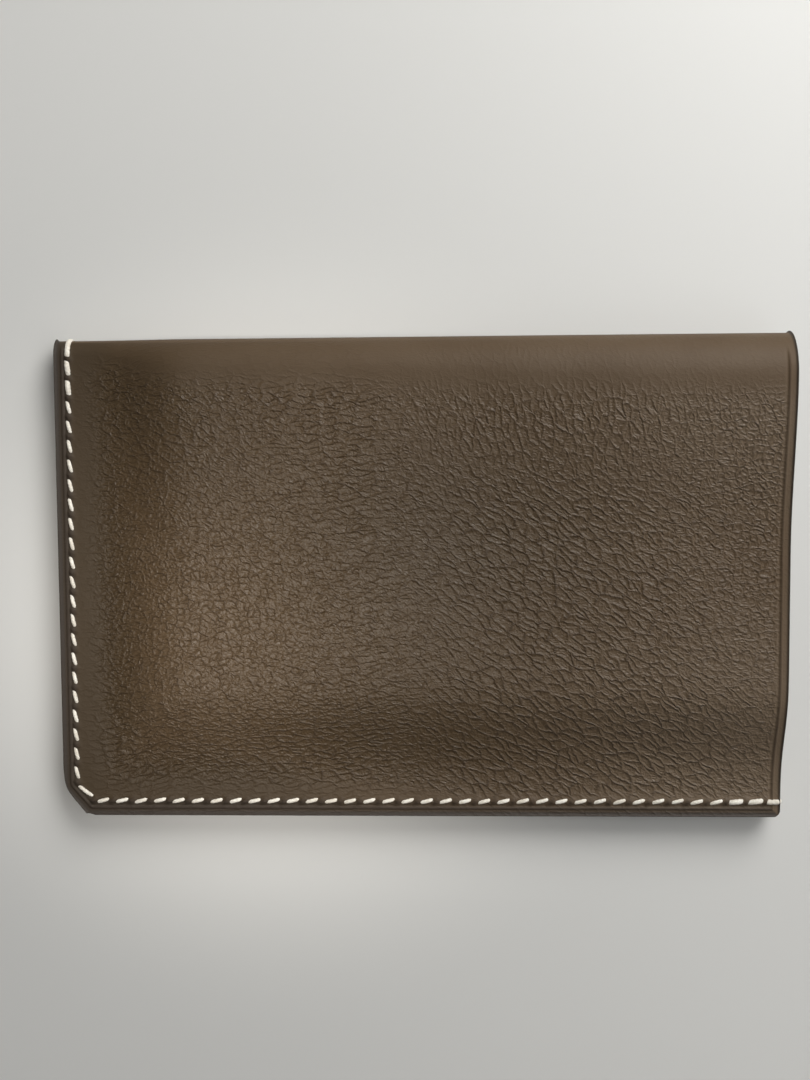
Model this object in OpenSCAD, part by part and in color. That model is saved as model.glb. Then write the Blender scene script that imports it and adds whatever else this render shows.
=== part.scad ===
// Card case: one leather sheet folded along its long side, sewn along one short and
// one long side, open at the other short side. It lies on its back, mouth towards +X,
// fold towards +Y.

/* [Body] */
// Length from the sewn short edge to the mouth
case_length = 105; // [84:0.5:126]
// Width from the sewn long edge to the fold
case_width = 69.7; // [56:0.5:84]
// Corner cut, measured along the long edge
corner_cut_length = 3.5; // [2.5:0.1:6]
// Corner cut, measured along the short edge
corner_cut_width = 4; // [3:0.1:6]

/* [Leather] */
// Thickness of the outer leather
outer_thickness = 1.1; // [0.8:0.05:1.6]
// Thickness of the stiffener sheet between the two leathers
stiffener_thickness = 0.2; // [0.1:0.05:0.5]
// Thickness of the lining leather
lining_thickness = 0.5; // [0.3:0.05:1]
// Thickness of the cement line between the two leaves under the seams
cement_thickness = 0.05; // [0.03:0.01:0.2]
// Thickness of the paint on the cut edges
edge_coat = 0.12; // [0.05:0.01:0.3]

/* [Pocket] */
// Height of the pocket over most of its area
pocket_height = 4.4; // [4.2:0.1:6]
// Height of the pocket at the mouth, beside the fold
mouth_height = 7.2; // [5:0.1:10]
// Depth of the rolled fold at the mouth, from the fold to its crest
roll_depth = 6; // [4.5:0.1:8]
// Depth of the tight fold at the sewn end, beyond the thickness of one leaf
fold_lap = 0.4; // [0.2:0.05:1]
// Distance over which the crest beside the fold falls to the pocket height
crest_slope = 25; // [15:1:32]
// Distance over which the leaves part from the seam to the pocket height
rise_length = 18; // [12:1:24]
// Height of the sewn edges above the flat back
edge_lift = 0.75; // [0.7:0.05:1.5]

/* [Stitching] */
// Distance from the sewn short edge to its row of holes
side_seam_inset = 1.95; // [1.6:0.05:2.6]
// Distance from the sewn long edge to its row of holes
long_seam_inset = 2.15; // [1.6:0.05:2.6]
// Wanted distance between holes, adjusted to a whole number of stitches
stitch_pitch = 2.8; // [2.3:0.05:3.6]
// Diameter of the waxed thread
thread_diameter = 0.62; // [0.4:0.02:0.64]
// Clearance between a thread and whatever is beside it
thread_clearance = 0.05; // [0.03:0.01:0.1]
// Distance from the fold to the first hole
fold_hole_inset = 2.6; // [2.2:0.1:4]
// Distance from the mouth to the last hole
mouth_hole_inset = 2.1; // [1.8:0.1:4]

/* [Hidden] */

leaf = outer_thickness + stiffener_thickness + lining_thickness;
sewn_thickness = 2 * leaf + cement_thickness;
sheet_length = case_length - 2 * edge_coat;
sheet_width = case_width - edge_coat;
thread_radius = thread_diameter / 2;

// A hole is a slit across the seam with room for two threads side by side.
thread_offset = thread_radius + thread_clearance / 2;
slit_width = thread_diameter + 2 * thread_clearance;
slit_length = 2 * (thread_offset + thread_radius + thread_clearance);
seam_margin = max(side_seam_inset, long_seam_inset) + slit_length / 2 + 0.5;
seam_front = edge_lift + sewn_thickness;

// The grid of every folded sheet: columns along X, rows around the fold.
margin_columns = 2;
rise_columns = 9;
plain_columns = 12;
cut_rows = 3;
rise_rows = 9;
back_rows = 1;
roll_rows = 12;
front_rows = 8;
low_rows = cut_rows + rise_rows;
thread_sides = 8;
loop_steps = 10;

// The case is centred on its box, which the two end loops make a little larger.
function place(a, b, z) = [
    a + edge_coat - (case_length + thread_diameter) / 2,
    b + edge_coat - (case_width + thread_diameter) / 2,
    z
];

function smooth(t) = let (c = max(0, min(1, t))) c * c * (3 - 2 * c);
function mix(p, q, t) = p + (q - p) * t;

// a runs from the sewn short edge, b from the sewn long edge.
function rise(d) = smooth((d - seam_margin) / rise_length);
function sheet_start(b) = corner_cut_length * max(0, 1 - b / corner_cut_width);
function crest_extra(a) = (mouth_height - pocket_height) * smooth(a / sheet_length);
function fold_gap(a) = rise(a) * (pocket_height + crest_extra(a));
function roll(a) = mix(leaf + fold_lap, roll_depth, fold_gap(a) / mouth_height);
function crest(a) = sheet_width - roll(a);
function gap(a, b) = rise(a) * (pocket_height * rise(b)
    + crest_extra(a) * (1 - smooth((crest(a) - b) / crest_slope)));
function back(a, b) = edge_lift * (1 - rise(a) * rise(b));

columns = concat(
    [for (i = [0 : margin_columns - 1]) seam_margin * i / margin_columns],
    [for (i = [0 : rise_columns - 1]) seam_margin + rise_length * i / rise_columns],
    [for (i = [0 : plain_columns])
        mix(seam_margin + rise_length, sheet_length, i / plain_columns)]
);
low_steps = concat(
    [for (i = [0 : cut_rows - 1]) corner_cut_width * i / cut_rows],
    [for (i = [0 : rise_rows - 1])
        mix(corner_cut_width, seam_margin + rise_length, i / rise_rows)]
);

// One column of a sheet's surface at a depth below the outside: along the back, round
// the roll as half an ellipse, and down the front.
function back_part(s, depth, steps) = [
    for (b = steps) let (a = mix(sheet_start(b), sheet_length, s / sheet_length))
        place(a, b, back(a, b) + depth)
];
function roll_part(s, depth) = let (
    half = (sewn_thickness + fold_gap(s)) / 2,
    centre = back(s, sheet_width) + half
) [
    for (i = [0 : roll_rows]) let (t = -90 + 180 * i / roll_rows)
        place(s, crest(s) + (roll(s) - depth) * cos(t), centre + (half - depth) * sin(t))
];
function front_part(s, depth, steps) = [
    for (b = steps) let (a = mix(sheet_start(b), sheet_length, s / sheet_length))
        place(a, b, back(a, b) + sewn_thickness + gap(a, b) - depth)
];
function steps_to_crest(s, count) =
    [for (i = [0 : count - 1]) mix(seam_margin + rise_length, crest(s), i / count)];
function backwards(list) = [for (i = [len(list) - 1 : -1 : 0]) list[i]];

function sheet_column(s, depth) = concat(
    back_part(s, depth, low_steps),
    back_part(s, depth, steps_to_crest(s, back_rows)),
    roll_part(s, depth),
    front_part(s, depth, backwards(steps_to_crest(s, front_rows))),
    front_part(s, depth, backwards(low_steps))
);

// A closed sheet between two depths: outer grid, inner grid and the cut edges.
module folded_sheet(outer_depth, inner_depth) {
    grid = [for (s = columns) sheet_column(s, outer_depth)];
    rows = len(grid[0]);
    count = len(columns) * rows;
    points = concat(
        [for (column = grid) each column],
        [for (s = columns) each sheet_column(s, inner_depth)]
    );
    last_column = count - rows;
    faces = concat(
        [for (i = [0 : len(columns) - 2]) for (j = [0 : rows - 2]) let (k = i * rows + j)
            each [[k, k + rows, k + rows + 1], [k, k + rows + 1, k + 1]]],
        [for (i = [0 : len(columns) - 2]) for (j = [0 : rows - 2])
            let (k = count + i * rows + j)
            each [[k, k + rows + 1, k + rows], [k, k + 1, k + rows + 1]]],
        [for (j = [0 : rows - 2]) let (k = j) [k, k + 1, k + count + 1, k + count]],
        [for (j = [0 : rows - 2]) let (k = last_column + j)
            [k, k + count, k + count + 1, k + 1]],
        [for (i = [0 : len(columns) - 2]) let (k = i * rows)
            [k, k + count, k + count + rows, k + rows]],
        [for (i = [0 : len(columns) - 2]) let (k = i * rows + rows - 1)
            [k, k + rows, k + count + rows, k + count]]
    );
    polyhedron(points, faces);
}

// The row of holes: down the short side, across the cut corner, along the long side.
cut_slope = sqrt(pow(corner_cut_length, 2) + pow(corner_cut_width, 2));
cut_normal = [corner_cut_width, corner_cut_length] / cut_slope;
cut_distance = cut_normal[0] * corner_cut_length + (side_seam_inset + long_seam_inset) / 2;
side_turn = [side_seam_inset, (cut_distance - cut_normal[0] * side_seam_inset) / cut_normal[1]];
long_turn = [(cut_distance - cut_normal[1] * long_seam_inset) / cut_normal[0], long_seam_inset];
side_start = [side_seam_inset, sheet_width - fold_hole_inset];
long_end = [sheet_length - mouth_hole_inset, long_seam_inset];

function stitch_count(p, q) = max(1, round(norm(q - p) / stitch_pitch));
function hole_row(p, q) = let (n = stitch_count(p, q)) [for (i = [0 : n - 1]) mix(p, q, i / n)];
holes = concat(hole_row(side_start, side_turn), hole_row(side_turn, long_turn),
               hole_row(long_turn, long_end), [long_end]);
last_hole = len(holes) - 1;

function unit(v) = v / norm(v);
function seam_direction(k) = unit(holes[min(k + 1, last_hole)] - holes[max(k - 1, 0)]);
function inward(k) = let (d = seam_direction(k)) [-d[1], d[0]];

module stitch_slits() {
    for (k = [0 : last_hole]) {
        d = seam_direction(k);
        translate(place(holes[k][0], holes[k][1], 0))
            rotate([0, 0, atan2(d[1], d[0])])
                translate([-slit_width / 2, -slit_length / 2, 0])
                    cube([slit_width, slit_length, seam_front + edge_lift]);
    }
}

// Saddle stitch: each needle's thread is on the front at every other stitch, entering a
// hole on the side away from the other thread.
function stitch_end(k, side, front) = let (
    p = holes[k] + side * thread_offset * inward(k),
    step = k == 0 ? 1 : k == last_hole ? -1 : 0,
    q = p + step * (slit_width + thread_clearance) * seam_direction(k)
) place(q[0], q[1], front ? seam_front + thread_radius : edge_lift - thread_radius);

function stitch_path(first) = [
    for (k = [0 : last_hole - 1]) let (front = k % 2 == first) each [
        stitch_end(k, front ? -1 : 1, front),
        stitch_end(k + 1, front ? 1 : -1, front)
    ]
];

// A tube along a path, with mitred corners. Every ring is level across the stitch.
function level(v) = let (w = [v[1], -v[0], 0]) norm(w) < 1e-6 ? undef : unit(w);
function path_level(path, i) = let (
    n = len(path) - 1,
    after = i < n ? level(path[i + 1] - path[i]) : undef,
    before = i > 0 ? level(path[i] - path[i - 1]) : undef
) is_undef(after) ? before : after;
function ring(centre, before, after, across, radius) = let (
    tangent = unit(before + after),
    up = unit(cross(tangent, across)),
    stretch = radius / max(0.5, sqrt((1 + before * after) / 2))
) [
    for (i = [0 : thread_sides - 1]) let (t = 360 * i / thread_sides)
        centre + across * radius * cos(t) + up * stretch * sin(t)
];

module tube(rings, closed) {
    n = len(rings);
    m = thread_sides;
    spans = closed ? n : n - 1;
    walls = [for (i = [0 : spans - 1]) for (j = [0 : m - 1]) let (
        p = i * m, q = (i + 1) % n * m, jn = (j + 1) % m
    ) each [[p + j, q + jn, q + j], [p + j, p + jn, q + jn]]];
    ends = closed ? [] : [[for (j = [m - 1 : -1 : 0]) j], [for (j = [0 : m - 1]) (n - 1) * m + j]];
    polyhedron([for (r = rings) each r], concat(walls, ends));
}

module stitch_thread(first) {
    path = stitch_path(first);
    n = len(path) - 1;
    rings = [
        for (i = [0 : n]) ring(
            path[i],
            unit(path[max(i, 1)] - path[max(i, 1) - 1]),
            unit(path[min(i, n - 1) + 1] - path[min(i, n - 1)]),
            path_level(path, i),
            thread_radius
        )
    ];
    tube(rings, false);
}

// A closed loop of thread through one hole and round an edge, in an upright plane.
module end_loop(path, across) {
    n = len(path);
    rings = [
        for (i = [0 : n - 1]) ring(
            path[i],
            unit(path[i] - path[(i + n - 1) % n]),
            unit(path[(i + 1) % n] - path[i]),
            across,
            thread_radius
        )
    ];
    tube(rings, true);
}

module outer_leather() {
    color("#5e5145") difference() {
        folded_sheet(0, outer_thickness);
        stitch_slits();
    }
}

module stiffener_sheet() {
    color("#8d867b") difference() {
        folded_sheet(outer_thickness, outer_thickness + stiffener_thickness);
        stitch_slits();
    }
}

module lining_leather() {
    color("#463b33") difference() {
        folded_sheet(outer_thickness + stiffener_thickness, leaf);
        stitch_slits();
    }
}

module first_needle_thread() {
    color("#e6dcc6") stitch_thread(0);
}

module second_needle_thread() {
    color("#e6dcc6") stitch_thread(1);
}

// Thread drawn over the fold through the first hole.
module fold_end_loop() {
    a = holes[0][0];
    low = edge_lift - thread_radius;
    high = seam_front + thread_radius;
    centre = (low + high) / 2;
    bend = [for (i = [0 : loop_steps]) let (t = 90 - 180 * i / loop_steps) place(
        a,
        crest(a) + (roll(a) + thread_radius) * cos(t),
        centre + (high - low) / 2 * sin(t)
    )];
    hole = [place(a, holes[0][1], low), place(a, holes[0][1], high)];
    color("#e6dcc6") end_loop(concat(hole, bend), [-1, 0, 0]);
}

// Thread drawn over the painted mouth edge through the last hole.
module mouth_end_loop() {
    b = holes[last_hole][1];
    start = holes[last_hole][0];
    low = edge_lift - thread_radius;
    high = seam_front + thread_radius;
    finish = sheet_length + edge_coat + thread_radius;
    color("#e6dcc6") end_loop([
        place(start, b, low), place(start, b, high),
        place(finish, b, high), place(finish, b, low)
    ], [0, 1, 0]);
}

// Paint on the two sewn edges, the cut corner and the end of the fold.
module sewn_edge_coat() {
    corner = edge_coat * tan(atan2(corner_cut_width, corner_cut_length) / 2);
    turn = edge_coat * tan((90 - atan2(corner_cut_width, corner_cut_length)) / 2);
    outline = [
        [0, crest(0)], [-edge_coat, crest(0)],
        [-edge_coat, corner_cut_width - turn], [corner_cut_length - corner, -edge_coat],
        [sheet_length + edge_coat, -edge_coat], [sheet_length + edge_coat, 0],
        [corner_cut_length, 0], [0, corner_cut_width]
    ];
    end = [for (i = [0 : loop_steps]) let (t = 90 - 180 * i / loop_steps)
        [roll(0) * cos(t), sewn_thickness / 2 * (1 + sin(t))]];
    color("#3b342f") {
        translate(place(0, 0, edge_lift))
            linear_extrude(sewn_thickness) polygon(outline);
        translate(place(-edge_coat, crest(0), edge_lift))
            rotate([90, 0, 90])
                linear_extrude(edge_coat) polygon(end);
    }
}

// Paint on the cut edge around the mouth.
module mouth_edge_coat() {
    function flat(list) = [for (p = list) [p[1], p[2]]];
    outside = flat(sheet_column(sheet_length, 0));
    inside = flat(sheet_column(sheet_length, leaf));
    color("#3b342f")
        translate([place(sheet_length, 0, 0)[0], 0, 0])
            rotate([90, 0, 90])
                linear_extrude(edge_coat) polygon(concat(outside, backwards(inside)));
}

outer_leather();
stiffener_sheet();
lining_leather();
first_needle_thread();
second_needle_thread();
fold_end_loop();
mouth_end_loop();
sewn_edge_coat();
mouth_edge_coat();
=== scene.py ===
import math

import bpy
import numpy as np
from mathutils import Matrix, Vector

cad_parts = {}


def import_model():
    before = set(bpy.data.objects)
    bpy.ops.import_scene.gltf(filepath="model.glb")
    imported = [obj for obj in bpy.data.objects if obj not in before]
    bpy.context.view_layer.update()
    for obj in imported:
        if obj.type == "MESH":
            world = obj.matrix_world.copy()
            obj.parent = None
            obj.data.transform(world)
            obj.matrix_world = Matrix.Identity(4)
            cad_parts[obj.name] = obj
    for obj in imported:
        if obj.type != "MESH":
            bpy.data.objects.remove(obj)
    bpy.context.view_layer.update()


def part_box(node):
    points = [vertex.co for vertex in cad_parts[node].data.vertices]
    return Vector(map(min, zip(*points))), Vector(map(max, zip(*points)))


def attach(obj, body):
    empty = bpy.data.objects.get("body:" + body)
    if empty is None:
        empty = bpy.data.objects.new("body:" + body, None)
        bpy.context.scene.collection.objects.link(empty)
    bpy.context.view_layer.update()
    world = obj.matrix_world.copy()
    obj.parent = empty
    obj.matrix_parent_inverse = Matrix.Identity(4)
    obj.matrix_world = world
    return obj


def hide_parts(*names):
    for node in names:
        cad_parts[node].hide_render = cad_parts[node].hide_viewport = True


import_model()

mm = 0.001

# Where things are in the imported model, in millimetres.
def boxMm(node):
    low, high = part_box(node)
    return np.array(low) / mm, np.array(high) / mm


leatherLow, leatherHigh = boxMm("outer_leather")
stiffenerTop = boxMm("stiffener_sheet")[1][2]
liningTop = boxMm("lining_leather")[1][2]
edgeLow, edgeHigh = boxMm("sewn_edge_coat")
foldLoopLow, foldLoopHigh = boxMm("fold_end_loop")
mouthLoopLow, mouthLoopHigh = boxMm("mouth_end_loop")

threadDiameter = foldLoopHigh[0] - foldLoopLow[0]
caseShape = {
    "cornerCutLength": 3.5,     # along the long edge
    "cornerCutWidth": 4.0,      # along the short edge
    "cornerRound": 0.5,         # how softly the cut corner turns
    "cornerSlack": 0.15,        # share of that softness taken back off the cut
    "cornerEnds": 5.0,          # fades out from here to twice as far up the side
    "cutSoftening": 0.22,       # how far the cut's lower end is rubbed back
    "softeningReach": 1.3,
    "mouthCornerRound": 0.8,    # radius of the corner between seam and mouth
    "pocketHeight": 4.4,        # how far the leaves stand apart over most of the case
    "rollDepth": 6.0,           # depth of the roll at the fold, at the mouth
    "foldLap": 0.4,             # what the roll is deeper than the leaf at the sewn end
    "crestSlope": 25.0,         # how far the crest beside the fold reaches over the leaf
    "riseLength": 18.0,
    "seamMargin": 3.34,         # flat sewn border
    "cement": 0.05,             # gap between the two sewn leaves
    "stitchPitch": 2.8,
}
sheetLength = leatherHigh[0] - leatherLow[0]
sheetWidth = leatherHigh[1] - leatherLow[1]
sewnThickness = edgeHigh[2] - edgeLow[2]
edgeLift = edgeLow[2]
leafThickness = (sewnThickness - caseShape["cement"]) / 2
outerThickness = leatherHigh[2] - stiffenerTop
stiffenerThickness = stiffenerTop - liningTop
mouthHeight = leatherHigh[2] - sewnThickness
sideInset = (foldLoopLow[0] + foldLoopHigh[0]) / 2 - leatherLow[0]
longInset = (mouthLoopLow[1] + mouthLoopHigh[1]) / 2 - leatherLow[1]
firstHoleB = foldLoopLow[1] + threadDiameter / 2 - leatherLow[1]
lastHoleA = mouthLoopLow[0] + threadDiameter / 2 - leatherLow[0]


# Smooth step: 3t^2 - 2t^3 between 0 and 1.
def smooth(t):
    t = np.clip(t, 0, 1)
    return t * t * (3 - 2 * t)


# Bell curve of a distance and a half width.
def bell(distance, width):
    return np.exp(-(distance / width) ** 2)


# Vectors over their own lengths.
def unit(vectors):
    return vectors / np.linalg.norm(vectors, axis=-1, keepdims=True)


# Steps of about the given size between marks: [(end, step), ...] from start.
def spread(start, spans):
    places = [np.array([start])]
    for end, step in spans:
        count = max(1, round(abs(end - start) / step))
        places.append(np.linspace(start, end, count + 1)[1:])
        start = end
    return np.concatenate(places)


# The case's own measures: a runs from the sewn short edge, b from the sewn long edge.
# The leaves part by 6t^5 - 15t^4 + 10t^3, which starts and ends without a crease.
def rise(distance):
    t = np.clip((distance - caseShape["seamMargin"]) / caseShape["riseLength"], 0, 1)
    return t ** 3 * (t * (6 * t - 15) + 10)


# What the crest beside the fold adds to the pocket's height, as a smooth step along the case.
def crestExtra(a):
    return (mouthHeight - caseShape["pocketHeight"]) * smooth(a / sheetLength)


def foldGap(a):
    return rise(a) * (caseShape["pocketHeight"] + crestExtra(a))


# The roll grows from a tight fold at the sewn end in proportion to the gap.
def rollDepth(a):
    tight = leafThickness + caseShape["foldLap"]
    return tight + (caseShape["rollDepth"] - tight) * foldGap(a) / mouthHeight


def crestPlace(a):
    return sheetWidth - rollDepth(a)


# The pocket's height, plus the crest's part, which falls off smoothly away from the fold.
def leafGap(a, b):
    besideFold = 1 - smooth((crestPlace(a) - b) / caseShape["crestSlope"])
    return rise(a) * (caseShape["pocketHeight"] * rise(b) + crestExtra(a) * besideFold)


# The back leaf lies on the table, and rises to the seam's height along the sewn edges.
def backHeight(a, b):
    return edgeLift * (1 - rise(a) * rise(b))


# The cut corner as a softened ramp: half of (u + sqrt(u^2 + r^2)), u falling from 1 to 0 up the side.
def sheetStart(b):
    u = 1 - b / caseShape["cornerCutWidth"]
    r = caseShape["cornerRound"] / 2
    ramp = (u + np.sqrt(u * u + r * r) - r * caseShape["cornerSlack"]) / 2
    ends = caseShape["cornerEnds"]
    return caseShape["cornerCutLength"] * ramp * (1 - smooth((b - ends) / ends))


# The long edge turns up at the mouth as a quarter circle, and a little at the cut corner.
def longEdge(s):
    r = caseShape["mouthCornerRound"]
    into = np.clip(r - (sheetLength - s), 0, r)
    rubbed = 1 - smooth(s / caseShape["softeningReach"])
    return r - np.sqrt(r * r - into * into) + caseShape["cutSoftening"] * rubbed


# Distance to the nearest cut edge, inside the outline of straight sides.
cutNormal = unit(np.array([caseShape["cornerCutWidth"], caseShape["cornerCutLength"]]))


def edgeDistance(a, b):
    cut = cutNormal[0] * (a - caseShape["cornerCutLength"]) + cutNormal[1] * b
    return np.minimum(np.minimum(a, b), np.minimum(cut, sheetLength - a))


# The holes: down the short side, across the cut corner, along the long side.
def seamHoles():
    distance = cutNormal[0] * caseShape["cornerCutLength"] + (sideInset + longInset) / 2
    marks = [
        np.array([sideInset, firstHoleB]),
        np.array([sideInset, (distance - cutNormal[0] * sideInset) / cutNormal[1]]),
        np.array([(distance - cutNormal[1] * longInset) / cutNormal[0], longInset]),
        np.array([lastHoleA, longInset]),
    ]
    rows = [marks[0][None]]
    for start, end in zip(marks, marks[1:]):
        count = max(1, round(np.linalg.norm(end - start) / caseShape["stitchPitch"]))
        rows.append(start + (end - start) * np.linspace(0, 1, count + 1)[1:, None])
    return np.concatenate(rows)


holes = seamHoles()
alongSeam = np.zeros_like(holes)
alongSeam[1:-1] = holes[2:] - holes[:-2]
alongSeam[0] = holes[1] - holes[0]
alongSeam[-1] = holes[-1] - holes[-2]
alongSeam = unit(alongSeam)
inwards = np.stack([-alongSeam[:, 1], alongSeam[:, 0]], axis=1)


# Points of a folded sheet. Each column runs along the back, round the roll as half an
# ellipse, and down the front. side is -1 on the back, 0 on the roll and 1 on the front.
def sheetGrid(columns, backSteps, rollSteps, frontSteps, depth):
    s = columns[:, None]
    crest = crestPlace(s)
    low = longEdge(s)

    def leaf(steps):
        b = low + (crest - low) * steps[None] / sheetWidth
        a = sheetStart(b) + (sheetLength - sheetStart(b)) * s / sheetLength
        return a, b

    aBack, bBack = leaf(backSteps)
    aFront, bFront = leaf(frontSteps)
    zBack = backHeight(aBack, bBack) + depth
    zFront = backHeight(aFront, bFront) + sewnThickness + leafGap(aFront, bFront) - depth
    turn = np.linspace(-math.pi / 2, math.pi / 2, rollSteps + 2)[None, 1:-1]
    half = (sewnThickness + foldGap(s)) / 2
    aRoll = s + 0 * turn
    bRoll = crest + (rollDepth(s) - depth) * np.cos(turn)
    zRoll = backHeight(s, sheetWidth) + half + (half - depth) * np.sin(turn)
    a = np.concatenate([aBack, aRoll, aFront[:, ::-1]], axis=1)
    b = np.concatenate([bBack, bRoll, bFront[:, ::-1]], axis=1)
    z = np.concatenate([zBack, zRoll, zFront[:, ::-1]], axis=1)
    side = np.concatenate([-np.ones(len(backSteps)), np.sin(turn[0]), np.ones(len(frontSteps))])
    return a, b, z, side[None] + 0 * a


# The case's own measures as places in the frame.
def toPlace(a, b, z):
    return np.stack([a + leatherLow[0], b + leatherLow[1], z], axis=-1)


# Unit normals of a grid, from the cross product of its two directions.
def gridNormals(points):
    return unit(np.cross(np.gradient(points, axis=0), np.gradient(points, axis=1)))


# Quads of a grid whose points are numbered along each column.
def gridFaces(count, rows):
    i, j = np.meshgrid(np.arange(count - 1), np.arange(rows - 1), indexing="ij")
    k = (i * rows + j).ravel()
    return np.stack([k, k + rows, k + rows + 1, k + 1], axis=1)


# A mesh object from millimetre points and lists of faces.
def makePiece(name, points, faces):
    mesh = bpy.data.meshes.new(name)
    mesh.from_pydata((points * mm).tolist(), [], faces)
    mesh.validate()
    mesh.update()
    mesh.polygons.foreach_set("use_smooth", np.full(len(mesh.polygons), True))
    piece = bpy.data.objects.new(name, mesh)
    bpy.context.scene.collection.objects.link(piece)
    return piece


# A UV layer from one pair of values for each vertex.
def setDeveloped(piece, pairs):
    mesh = piece.data
    corner = np.empty(len(mesh.loops), dtype=np.int32)
    mesh.loops.foreach_get("vertex_index", corner)
    layer = mesh.uv_layers.new(name="developed")
    layer.data.foreach_set("uv", np.ascontiguousarray(pairs[corner], dtype=np.float32).ravel())


# A closed sheet: a fine outer grid, a rim, and an inner grid that keeps every step-th
# line. The inner border's cells also take in the fine points between.
def closedSheet(outer, inner, step):
    count, rows = outer.shape[:2]
    fine = count * rows
    ringI = np.concatenate([np.arange(count - 1), np.full(rows - 1, count - 1),
                            np.arange(count - 1, 0, -1), np.zeros(rows - 1, int)])
    ringJ = np.concatenate([np.zeros(count - 1, int), np.arange(rows - 1),
                            np.full(count - 1, rows - 1), np.arange(rows - 1, 0, -1)])
    ringCount = len(ringI)
    keepI = np.arange(0, count, step)
    keepJ = np.arange(0, rows, step)
    coreI, coreJ = np.meshgrid(keepI[1:-1], keepJ[1:-1], indexing="ij")
    points = np.concatenate([
        outer.reshape(-1, 3), inner[ringI, ringJ], inner[coreI.ravel(), coreJ.ravel()]])
    number = np.zeros((count, rows), int)
    number[ringI, ringJ] = fine + np.arange(ringCount)
    number[coreI, coreJ] = fine + ringCount + np.arange(coreI.size).reshape(coreI.shape)
    kept = number[np.ix_(keepI, keepJ)]
    cells = np.stack([kept[:-1, :-1], kept[:-1, 1:], kept[1:, 1:], kept[1:, :-1]], axis=-1)
    ring = ringI * rows + ringJ
    after = np.roll(np.arange(ringCount), -1)
    rim = np.stack([ring, fine + np.arange(ringCount), fine + after, ring[after]], axis=1)
    faces = gridFaces(count, rows).tolist() + rim.tolist() + cells[1:-1, 1:-1].reshape(-1, 4).tolist()
    lastM, lastN = len(keepI) - 2, len(keepJ) - 2
    border = [(m, n) for m in (0, lastM) for n in range(lastN + 1)]
    border += [(m, n) for m in range(1, lastM) for n in (0, lastN)]
    for m, n in border:
        i0, i1, j0, j1 = keepI[m], keepI[m + 1], keepJ[n], keepJ[n + 1]
        down = number[i0, j0:j1] if m == 0 else number[i0, j0:j0 + 1]
        along = number[i0:i1, j1] if n == lastN else number[i0:i0 + 1, j1]
        up = number[i1, j1:j0:-1] if m == lastM else number[i1, j1:j1 + 1]
        back = number[i1:i0:-1, j0] if n == 0 else number[i1:i1 + 1, j0]
        faces.append(np.concatenate([down, along, up, back]).tolist())
    return points, faces


print("stage: outer leather")
outerLeather = {
    # the finest grid beside the cut edges: how far in, and its step
    "sideRim": (1.0, 0.12),
    "frontRim": (1.2, 0.13),
    "backRim": (1.2, 0.16),
    "margin": (4.2, 0.17),   # over the sewn border
    "backMargin": (4.2, 0.25),
    "frontStep": 0.37,
    "mouthReach": 2.2,
    "mouthStep": 0.14,
    "backStep": 0.9,
    "rollSteps": 34,
    "innerStep": 4,          # the inner side keeps every fourth line
    "edgeRound": 0.45,       # how far in the burnished edge starts to turn
    "edgeDrop": 0.3,
    "creaseInset": 1.1,      # the line pressed along the cut edges
    "creaseWidth": 0.15,
    "creaseDepth": 0.17,
    "ridgeInset": 0.34,      # the low ridge inside the pressed line
    "ridgeWidth": 0.2,
    "ridgeHeight": 0.06,
    "seamValley": 0.1,       # the leather pulled down along the seam
    "valleyLength": 1.9,
    "valleyWidth": 0.55,
    "holeDepth": 0.42,
    "holeLength": 0.3,
    "holeWidth": 0.5,
    "holeSlant": 0.35,
    "holeReach": 2.5,
}
# soft rise and fall of the front leaf
frontSwell = {
    "height": 0.25,
    "foldInset": 3.0,        # none on the roll, and all of it foldFade further on
    "foldFade": 12.0,
    "pastMouth": 6.0,        # where it would end beyond the mouth
    "mouthFade": 20.0,
    # lengths along and across with their phases, then the two slanting waves' shares
    "longWaves": (13.0, 0.6, 11.0, 0.9),
    "crossWaves": (7.5, 16.0, 0.6),
    "shortWaves": (6.5, 24.0, 1.2, 0.5),
}


# More places over the same run, until step divides the number of spans.
def evenCount(places, step):
    spare = (len(places) - 1) % step
    if spare:
        old = np.linspace(0, 1, len(places))
        places = np.interp(np.linspace(0, 1, len(places) + step - spare), old, places)
    return places


# Height above the plain sheet: edges that turn down as a quarter ellipse, bell-shaped
# creases and ridges, and at each hole a slanting dip with a valley along the seam.
def leatherRelief(a, b, side, shape):
    d = edgeDistance(a, b)
    onLeaf = smooth((np.abs(side) - 0.75) / 0.25)
    t = np.clip(1 - d / shape["edgeRound"], 0, 1)
    relief = -shape["edgeDrop"] * (1 - np.sqrt(1 - np.minimum(t * t, 0.999)))
    crease = bell(d - shape["creaseInset"], shape["creaseWidth"]) * onLeaf
    relief -= shape["creaseDepth"] * crease
    ridge = bell(d - shape["creaseInset"] - shape["ridgeInset"], shape["ridgeWidth"])
    relief += shape["ridgeHeight"] * ridge * onLeaf
    valley, dimple = np.zeros_like(a), np.zeros_like(a)
    reach = shape["holeReach"]
    for (holeA, holeB), seam, inward in zip(holes, alongSeam, inwards):
        near = (np.abs(a - holeA) < reach) & (np.abs(b - holeB) < reach) & (np.abs(side) > 0.5)
        da, db = a[near] - holeA, b[near] - holeB
        across = da * inward[0] + db * inward[1]
        along = da * seam[0] + db * seam[1]
        slant = np.where(side[near] > 0, shape["holeSlant"], -shape["holeSlant"])
        dip = bell(along - slant * across, shape["holeLength"]) * bell(across, shape["holeWidth"])
        dimple[near] = np.maximum(dimple[near], dip)
        pull = bell(across, shape["valleyWidth"]) * bell(along, shape["valleyLength"])
        valley[near] = np.maximum(valley[near], pull)
    relief -= shape["holeDepth"] * dimple + shape["seamValley"] * valley
    return relief, crease, dimple


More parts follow.
